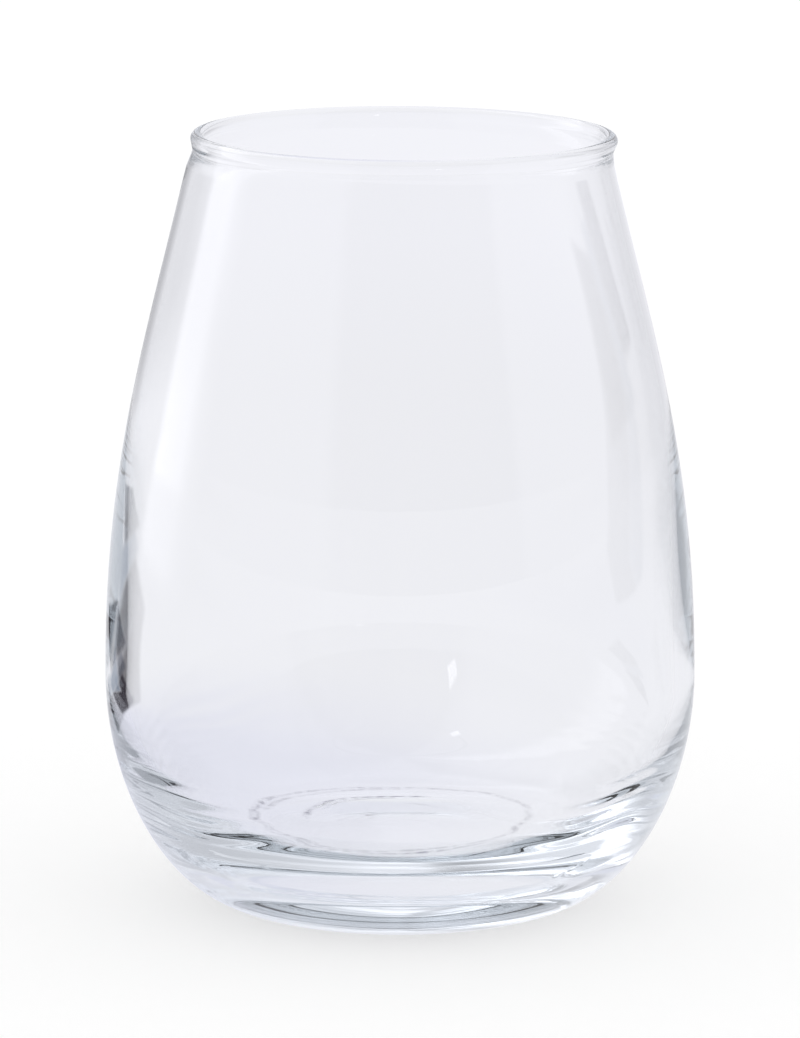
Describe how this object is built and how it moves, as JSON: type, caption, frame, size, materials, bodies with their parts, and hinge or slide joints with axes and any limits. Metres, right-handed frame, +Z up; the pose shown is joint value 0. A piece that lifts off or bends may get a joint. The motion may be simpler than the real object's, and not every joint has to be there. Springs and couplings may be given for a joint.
{
  "type": "stemless wine glass",
  "caption": "Clear stemless wine glass: egg-shaped bowl with a thick rounded base, thin wall drawing in to the mouth and a fine rounded rim bead.",
  "frame": {"origin": "on the glass's axis, in the plane of the ring that it stands on", "axes": "+Z up along the axis, from the base to the mouth; the glass is the same all round, so +X and +Y are any two directions square to it"},
  "size_m": [0.0876, 0.0876, 0.115],
  "materials": {
    "clear_glass": "clear, fire polished, very faint cool grey tint"
  },
  "bodies": {
    "root": {"glass": "clear_glass"}
  },
  "joints": []
}
